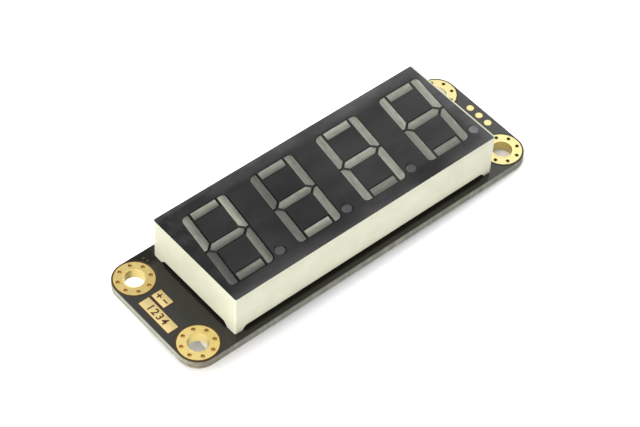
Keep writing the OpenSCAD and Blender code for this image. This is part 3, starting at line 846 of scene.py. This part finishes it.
class DISPLAY_MODULE_OT_windows(Operator):
    """Models the cast resin in the digits and points, sunk between its edges"""

    bl_idname = "display_module.windows"
    bl_label = "Resin Windows"

    def execute(self, context):
        settings = context.scene.module_face
        for number, (node, tones) in enumerate(DIGIT_TONES.items(), 1):
            finish = resin_finish(f"Digit resin {number}", settings.window, 10.0 * number)
            piece = self.sink(node, f"digit_{number}_resin", finish, "window_resin", settings)
            self.keep(piece, "glow", self.digit_glow(node, *tones))
            self.keep(piece, "upright", lambda spots: [float(self.is_upright(spots))] * len(spots))
        finish = resin_finish("Point resin", settings.decimal, 60.0)
        piece = self.sink(
            "decimal_windows", "decimal_resin_drops", finish, "decimal_resin", settings,
        )
        last = FACE_HIGH.x - LAST_POINT_INSET
        self.keep(piece, "glow", lambda spots: [
            LAST_POINT_TONE if spots[0].x > last else 1.0] * len(spots))
        return {"FINISHED"}

    def sink(self, node, name, finish, slot, settings):
        piece = taken_from(node, name)
        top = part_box(node)[1].z
        climb = FACE_LOW.z - top + HAIR
        choose("faces", lambda face: lies_flat(face)
               and face.calc_center_median().z > top - settings.sink)
        lift(climb)
        for share, fall in RIM_SLOPES:
            bpy.ops.mesh.inset(
                thickness=settings.rim * share, use_individual=True, use_even_offset=True,
            )
            lift(-(settings.sink + climb) * fall)
        leave()
        settle(name, finish, slot, 0.5)
        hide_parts(node)
        return piece

    def is_upright(self, spots):
        """True for a segment that runs along the digit's height."""
        across = [spot.x - spot.y * LEAN for spot in spots]
        along = [spot.y for spot in spots]
        return max(along) - min(along) > max(across) - min(across)

    def keep(self, piece, name, level_of):
        """Keeps a level on each corner of the piece, found from the corners of its window."""
        kept = piece.data.attributes.new(name, "FLOAT", "POINT")
        mesh = bmesh.new()
        mesh.from_mesh(piece.data)
        for island in islands(mesh):
            spots = [corner.co.copy() for corner in island]
            for corner, level in zip(island, level_of(spots)):
                kept.data[corner.index].value = level
        mesh.free()

    def digit_glow(self, node, upright_tones, level_tones):
        """Painted light and shade: tone at each corner of a segment, from its place in the segment
        and in the digit.
        """
        low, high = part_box(node)
        middle = (low + high) / 2
        reach = high - middle

        def painted_shading_of(spots):
            leaned = [spot.x - (spot.y - middle.y) * LEAN for spot in spots]
            level = [spot.y for spot in spots]
            rise = (sum(level) / len(spots) - middle.y) / reach.y
            if self.is_upright(spots):
                run, place = leaned, (sum(leaned) / len(spots) - middle.x) / reach.x
                tone, slope, side, head = upright_tones
            else:
                run, place = level, 1.0 - abs(rise)
                tone, slope, side, head = level_tones
            tone *= 1.0 + side * place + head * rise
            span = max(run) - min(run)
            return [tone * (1.0 + slope * ((v - min(run)) / span - 0.5)) for v in run]

        return painted_shading_of


class DISPLAY_MODULE_OT_board(Operator):
    """Gives the circuit board its mask and layered edges, and the rings their gold"""

    bl_idname = "display_module.board"
    bl_label = "Circuit Board"

    def execute(self, context):
        settings = context.scene.module_board
        dress(board_finish(settings), "circuit_board")
        dress(plating_finish(settings), *RING_NODES)
        return {"FINISHED"}


class DISPLAY_MODULE_OT_parts(Operator):
    """Finishes the parts inside the display and on the back of the board"""

    bl_idname = "display_module.parts"
    bl_label = "Small Parts"

    def execute(self, context):
        tin = metal_finish("Tinned metal", (0.72, 0.71, 0.68), 0.32, 0.4, 0.003)
        dress(tin, "display_pins_front", "display_pins_back", "driver_chip_leads",
              "connector_contacts", "connector_tabs", "capacitor_ends", "resistor_ends")
        dress(metal_finish("Solder", (0.78, 0.78, 0.76), 0.24, 0.5, 0.008, 4.0), "pin_solder")
        for *look, node in MOULDED_PARTS:
            dress(moulding_finish(*look), node)
        return {"FINISHED"}


class DISPLAY_MODULE_OT_labels(Operator):
    """Models the gold plates beside the cable end, with plain numbers and signs"""

    bl_idname = "display_module.labels"
    bl_label = "Label Plates"

    def execute(self, context):
        settings = context.scene.module_board
        gold = metal_finish("Label gold", (0.62, 0.495, 0.23), 0.55, 0.9, 0.001, 7.0)
        gold.put("Metallic", 0.75)
        mask = moulding_finish("Label mask", (0.07, 0.02, 0.008), 0.4, 0.3, 0.002, 3.0)
        mask.put("Specular IOR Level", 0.12)
        border, thick = settings.border * 2, settings.plate
        for name, x, y, length, width, marks in (
            ("label_plate_long", -31.37, -0.03, 1.87, 6.95, "1234"),
            ("label_plate_short", -29.07, 2.0, 1.78, 2.9, "+−"),
        ):
            x, y, length, width = x * MM, y * MM, length * MM, width * MM
            slab(length + border, width + border, thick * 0.4, (x, y, BOARD_HIGH.z), thick * 0.1)
            settle(name.replace("plate", "border"), mask, "solder_mask")
            slab(length, width, thick, (x, y, BOARD_HIGH.z + thick / 2), thick * 0.3)
            settle(name, gold, "gold_plating")
            self.write(marks, thick)
            self.seat(x, y, length * 0.7, width * 0.8, thick)
            settle(name.replace("plate", "marks"), mask, "solder_mask")
        return {"FINISHED"}

    def write(self, marks, thick):
        clear_selection()
        bpy.ops.object.text_add(location=(0.0, 0.0, 0.0), rotation=(0.0, 0.0, -math.pi / 2))
        text = bpy.context.object.data
        text.body = marks
        text.size = 1.75 * MM
        text.space_character = 1.25
        text.offset = 0.035 * MM
        text.extrude = thick
        bpy.ops.object.convert(target="MESH")
        keep_place()

    def seat(self, x, y, height, length, plate):
        """Scales the marks into their plate and lets them stand just through it."""
        spots = [v.co for v in bpy.context.object.data.vertices]
        low, high = [[pick(spot[i] for spot in spots) for i in range(3)] for pick in (min, max)]
        wide, long, thick = [b - a for a, b in zip(low, high)]
        middle = [(a + b) / 2 for a, b in zip(low, high)]
        scale = min(height / wide, length / long)
        goal = (x, y, BOARD_HIGH.z + plate * 0.58)
        edit()
        scale_about(middle, scale, scale, plate * 1.1 / thick)
        bpy.ops.transform.translate(value=[b - a for a, b in zip(middle, goal)])
        leave()


class DISPLAY_MODULE_OT_rings(Operator):
    """Models the rims, mask edges and filled holes of the mounting rings"""

    bl_idname = "display_module.rings"
    bl_label = "Mounting Rings"

    def execute(self, context):
        settings = context.scene.module_board
        boxes = [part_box(node) for node in RING_NODES]
        centres = [centre(*box) for box in boxes]
        radius = (boxes[0][1].x - boxes[0][0].x) / 2
        plate = boxes[0][1].z
        border, hole, via = radius + settings.border, settings.hole / 2, settings.via / 2
        bare = moulding_finish("Bare laminate", (0.075, 0.032, 0.010), 0.5, 0.2, 0.001, 5.0)
        bare.put("Base Color", bare.by_end(bare.base(), (0.036, 0.043, 0.018)))
        bare.put("Specular IOR Level", 0.08)
        # Painted highlight: the rims round the mounting holes are a brighter gold than the rings.
        painted_highlight_gold = metal_finish("Rim gold", toned(settings.gold, 1.25), 0.35, 0.4, 0.001, 6.0)
        mask = moulding_finish("Mask edge", toned(settings.mask, 1.6), 0.3, 0.3, 0.001, 8.0)
        spread(hoop(radius - 0.09 * MM, border, plate + HAIR, 0.0), centres)
        settle("ring_borders", bare, "solder_mask")
        spread(hoop(border, radius + 0.19 * MM, plate * 0.5, 0.0), centres)
        settle("ring_mask_edges", mask, "solder_mask")
        spread(hoop(hole, hole + 0.16 * MM, plate * 0.5, plate), centres)
        settle("mounting_hole_rims", painted_highlight_gold, "gold_plating")
        away = radius - settings.via_inset
        spots = []
        for x, y, z in centres:
            for step in range(RING_HOLES):
                turn = math.tau * (step + 0.5) / RING_HOLES
                spots.append((x + away * math.cos(turn), y + away * math.sin(turn), z))
        copper = metal_finish("Worn copper", (0.46, 0.22, 0.065), 0.4, 0.2, 0.001, 2.0)
        copper.put("Base Color", copper.by_end(copper.base(), (0.36, 0.33, 0.12)))
        spread(hoop(via, via + 0.07 * MM, plate * 0.25, plate, 20), spots)
        settle("small_hole_rims", copper, "gold_plating")
        spread(self.filling(via), spots)
        settle("small_hole_fillings", filling_finish(), "solder_mask")
        return {"FINISHED"}

    def filling(self, radius):
        """Mask that has sunk into a small hole, hollow at both ends."""
        gap, length, rim, hollow = 0.003 * MM, 1.3 * MM, 0.1 * MM, 0.07 * MM
        cylinder(20, radius - gap, length, BACK_Z / 2)
        for side in (1.0, -1.0):
            choose("faces", lambda face: face.normal.z * side > FLAT)
            bpy.ops.mesh.inset(thickness=rim)
            lift(-side * hollow)
        return leave()


class DISPLAY_MODULE_OT_pads(Operator):
    """Models the round test pads beside the plain end and two covered holes at the cable end"""

    bl_idname = "display_module.pads"
    bl_label = "Test Pads"

    def execute(self, context):
        settings = context.scene.module_board
        pale = [c * tint for c, tint in zip(settings.gold, PALE_TINT)]
        gold = metal_finish("Pad gold", pale, 0.34, 0.5, 0.001, 9.0)
        mask = moulding_finish("Raised mask", toned(settings.mask, 1.25), 0.28, 0.3, 0.001, 4.0)
        pads = [(32.1 * MM, y * MM, 0.0) for y in (-2.0, 0.0, 2.0)]
        spread(self.disc(0.6 * MM, settings.plate), pads)
        settle("test_pads", gold, "gold_plating", 12.0)
        covered = [(-26.6 * MM, 9.75 * MM, 0.0), (-26.4 * MM, 9.0 * MM, 0.0)]
        spread(self.disc(0.2 * MM, settings.plate * 0.5), covered)
        settle("covered_holes", mask, "solder_mask")
        return {"FINISHED"}

    def disc(self, radius, height):
        """Flat disc with a softened upper edge, on the front of the board."""
        middle = BOARD_HIGH.z + height / 2
        cylinder(40, radius, height, middle)
        choose("edges", lambda edge: all(v.co.z > middle for v in edge.verts))
        bpy.ops.mesh.bevel(offset=height * 0.45, segments=2)
        return leave()


class DISPLAY_MODULE_OT_solder(Operator):
    """Models the solder under the parts on the back of the board"""

    bl_idname = "display_module.solder"
    bl_label = "Solder Joints"

    def execute(self, context):
        tin = metal_finish("Joint solder", (0.72, 0.72, 0.70), 0.22, 0.4, 0.006, 12.0)
        # Middle, length and width of each joint in metres, and its height in millimetres
        feet = []
        for node, inset, extra, width, height in (
            ("driver_chip_leads", 0.25, 0.16, 0.9, 0.13), ("connector_tabs", 0.45, 0.4, 1.5, 0.22),
        ):
            for low, high in solids(node):
                side, edge = outer_edge(low, high)
                x, y = centre(low, high)[0], edge - side * inset * MM
                feet.append((x, y, high.x - low.x + extra * MM, width * MM, height))
        for low, high in solids("connector_contacts"):
            y = centre(low, high)[1]
            feet.append((high.x - 0.5 * MM, y, 1.6 * MM, high.y - low.y + 0.4 * MM, 0.3))
        for name, height in (("capacitor", 0.42), ("resistor", 0.26)):
            chips = solids(name + "_bodies")
            for low, high in solids(name + "_ends"):
                x, y, _ = centre(low, high)
                y += self.outwards(chips, low, high) * 0.18 * MM
                feet.append((x, y, high.x - low.x + 0.12 * MM, high.y - low.y + 0.4 * MM, height))
        merge([
            spread(mound(length, width, height * MM), [(x, y, 0.0)])
            for x, y, length, width, height in feet
        ])
        settle("solder_joints", tin, "solder", 40.0)
        spots = [centre(*box) for box in solids("pin_solder")]
        spread(hoop(0.5 * MM, 1.0 * MM, -0.04 * MM, BACK_Z, 32), spots)
        settle("pin_pads", tin, "solder")
        return {"FINISHED"}

    def outwards(self, chips, low, high):
        """Direction along Y in which a metal end faces away from the middle of its own chip."""
        near = min(chips, key=lambda box: ((box[0] + box[1]) / 2 - (low + high) / 2).length)
        return 1.0 if low.y + high.y > near[0].y + near[1].y else -1.0


class DISPLAY_MODULE_OT_back(Operator):
    """Models the printed outlines and the tracks on the back of the board"""

    bl_idname = "display_module.back"
    bl_label = "Back Print And Tracks"

    def execute(self, context):
        settings = context.scene.module_board
        ink = moulding_finish("Printed ink", settings.ink, 0.55, 0.15, 0.001, 14.0)
        mask = moulding_finish("Covered copper", toned(settings.mask, 1.7), 0.34, 0.4, 0.001, 15.0)
        outlines = []
        for node, gap in (("connector_housing", 0.35), ("driver_chip", -0.25)):
            low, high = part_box(node)
            outlines.append(self.frame_line(low, high, gap * MM))
        beside, beyond = 0.35 * MM, 0.3 * MM
        for low, high in solids("capacitor_bodies") + solids("resistor_bodies"):
            for x in (low.x - beside, high.x + beside):
                outlines.append(self.ink_line([(x, low.y - beyond), (x, high.y + beyond)]))
        merge(outlines)
        settle("printed_outlines", ink, "solder_mask")
        tracks = []
        height = 0.03 * MM
        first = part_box("driver_chip_leads")[0].x
        for low, high in solids("driver_chip_leads"):
            side, tip = outer_edge(low, high)
            x = centre(low, high)[0]
            # Every other track is longer by one millimetre
            step = round((x - first) / LEAD_PITCH) % 2
            reach = tip + side * (0.9 + step) * MM
            points = [(x, tip - side * 0.2 * MM), (x, reach)]
            tracks.append(line(points, settings.track * 0.8, height))
            pad = hoop(0.12 * MM, 0.34 * MM, -height, BACK_Z, 20)
            tracks.append(spread(pad, [(x, reach, 0.0)]))
        ends = [(box, centre(*box)) for box in solids("capacitor_ends") + solids("resistor_ends")]
        for low, high in solids("connector_contacts"):
            y = centre(low, high)[1]
            near = min(ends, key=lambda end: abs(end[1][1] - y) + abs(end[0][0].x - high.x))
            x, goal_y, _ = near[1]
            turn = max(x - abs(goal_y - y), high.x + 0.1 * MM)
            points = [(high.x, y), (turn, y), (x, goal_y)]
            tracks.append(line(points, settings.track * 1.4, height))
        merge(tracks)
        settle("covered_tracks", mask, "solder_mask")
        return {"FINISHED"}

    def ink_line(self, points, closed=False):
        return line(points, 0.15 * MM, 0.015 * MM, closed)

    def frame_line(self, low, high, gap):
        left, right = low.x - gap, high.x + gap
        front, back = low.y - gap, high.y + gap
        return self.ink_line([(left, front), (right, front), (right, back), (left, back)], True)


class DISPLAY_MODULE_OT_studio(Operator):
    """Sets the floor, the soft lights and the camera"""

    bl_idname = "display_module.studio"
    bl_label = "Studio"

    def execute(self, context):
        settings = context.scene.module_studio
        self.floor(settings)
        self.lights(context.scene, settings)
        self.camera(context.scene, settings)
        context.scene.view_settings.view_transform = "Standard"
        return {"FINISHED"}

    def floor(self, settings):
        """The module leans on its connector's rear edge and the plain end of the board."""
        heel = Vector((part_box("connector_housing")[1].x, 0.0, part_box("connector_housing")[0].z))
        toe = Vector((BOARD_HIGH.x - 0.2 * MM, 0.0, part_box("hole_plating_right_front")[0].z))
        tilt = math.atan2(toe.z - heel.z, toe.x - heel.x)
        clear_selection()
        bpy.ops.mesh.primitive_plane_add(size=6.0, location=toe, rotation=(0.0, -tilt, 0.0))
        floor = bpy.context.object
        floor.name = "floor"
        keep_place()
        finish = Finish("Pale floor", settings.floor, 0.6)
        finish.put("Base Color", finish.mottle(
            finish.noise(40.0, 2.0), settings.floor, 0.99, 1.0))
        finish.put("Specular IOR Level", 0.2)
        finish.put("Emission Color", (*WHITE, 1.0))
        glow = finish.times(self.glow_with_painted_shadow(finish), settings.lift)
        finish.put("Emission Strength", glow)
        floor.data.materials.append(finish.material)
        floor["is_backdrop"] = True

    def glow_with_painted_shadow(self, finish):
        """Painted shadow: fades the floor's own light out under the board, further in where it
        stands higher.
        """
        start, length, climb = 3.0 * MM, 20.0 * MM, 0.6
        gap = finish.sum("SUBTRACT", BACK_Z, finish.place("Z"))
        sides = []
        for axis, reach in (("X", BOARD_HIGH.x), ("Y", BOARD_HIGH.y)):
            inset = finish.sum("MULTIPLY_ADD", gap, climb, start - reach)
            outside = finish.sum("ADD", finish.sum("ABSOLUTE", finish.place(axis)), inset)
            sides.append(finish.sum("MAXIMUM", outside, 0.0))
        corner = finish.add("CombineXYZ", {0: sides[0], 1: sides[1]}).outputs[0]
        away = finish.add("VectorMath", {0: corner}, operation="LENGTH").outputs["Value"]
        away = finish.sum("DIVIDE", finish.sum("SUBTRACT", away, start), length)
        return finish.shade(away, [(0.0, 0.1), (0.015, 0.45), (0.1, 1.0), (0.3, 1.0), (1.0, 0.6)])

    def lights(self, scene, settings):
        world = bpy.data.worlds.new("Soft sky")
        world.use_nodes = True
        sky = world.node_tree.nodes["Background"]
        sky.inputs["Color"].default_value = (*WHITE, 1.0)
        sky.inputs["Strength"].default_value = settings.sky
        scene.world = world
        for name, place, size, power in (
            ("key", (-0.15, 0.20, 0.65), 0.40, settings.key),
            ("side", (-0.55, -0.06, 0.16), 0.30, settings.side),
            ("glow", (0.55, 0.22, 0.36), 0.34, settings.glow),
        ):
            lamp = bpy.data.lights.new(name, "AREA")
            lamp.shape = "SQUARE"
            lamp.size = size
            lamp.energy = power
            box = show(bpy.data.objects.new(name, lamp))
            box.location = place
            box.rotation_euler = (-Vector(place)).to_track_quat("-Z", "Y").to_euler()
            if name == "side":
                self.leave_floor(box)

    def leave_floor(self, lamp):
        """Lets a lamp pass the floor by, as a flag in front of it would."""
        passed = bpy.data.collections.new("passed by")
        passed.objects.link(bpy.data.objects["floor"])
        passed.collection_objects[0].light_linking.link_state = "EXCLUDE"
        lamp.light_linking.receiver_collection = passed

    def camera(self, scene, settings):
        lens = bpy.data.cameras.new("camera")
        lens.lens = settings.lens
        lens.sensor_width = 36.0
        lens.clip_start, lens.clip_end = 0.01, 20.0
        camera = show(bpy.data.objects.new("camera", lens))
        ahead = Vector(CAMERA_AHEAD).normalized()
        right = Vector(CAMERA_RIGHT)
        right = (right - ahead * right.dot(ahead)).normalized()
        turn = Matrix((right, right.cross(ahead), -ahead)).transposed()
        camera.matrix_world = Matrix.Translation(CAMERA_PLACE) @ turn.to_4x4()
        scene.camera = camera


OPERATORS = [
    DISPLAY_MODULE_OT_housing, DISPLAY_MODULE_OT_face, DISPLAY_MODULE_OT_windows,
    DISPLAY_MODULE_OT_board, DISPLAY_MODULE_OT_parts, DISPLAY_MODULE_OT_labels,
    DISPLAY_MODULE_OT_rings, DISPLAY_MODULE_OT_pads, DISPLAY_MODULE_OT_solder,
    DISPLAY_MODULE_OT_back, DISPLAY_MODULE_OT_studio,
]
SETTINGS = {
    "module_housing": HousingSettings, "module_face": FaceSettings,
    "module_board": BoardSettings, "module_studio": StudioSettings,
}


class DISPLAY_MODULE_PT_panel(Panel):
    """Lists the module's settings and the steps that build its look"""

    bl_label = "Display Module"
    bl_category = "Display Module"
    bl_space_type = "VIEW_3D"
    bl_region_type = "UI"

    def draw(self, context):
        for name, group in SETTINGS.items():
            box = self.layout.box()
            for setting in group.__annotations__:
                box.prop(getattr(context.scene, name), setting)
        for operator in OPERATORS:
            self.layout.operator(operator.bl_idname)


def register():
    for group in [*SETTINGS.values(), *OPERATORS, DISPLAY_MODULE_PT_panel]:
        bpy.utils.register_class(group)
    for name, group in SETTINGS.items():
        setattr(bpy.types.Scene, name, PointerProperty(type=group))


def unregister():
    for name in SETTINGS:
        delattr(bpy.types.Scene, name)
    for group in [DISPLAY_MODULE_PT_panel, *OPERATORS, *SETTINGS.values()]:
        bpy.utils.unregister_class(group)


def corners():
    return [list(corner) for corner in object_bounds()]


def main():
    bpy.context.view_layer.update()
    register()
    for operator in OPERATORS:
        getattr(bpy.ops.display_module, operator.bl_idname.split(".")[1])()


if __name__ == "__main__":
    main()
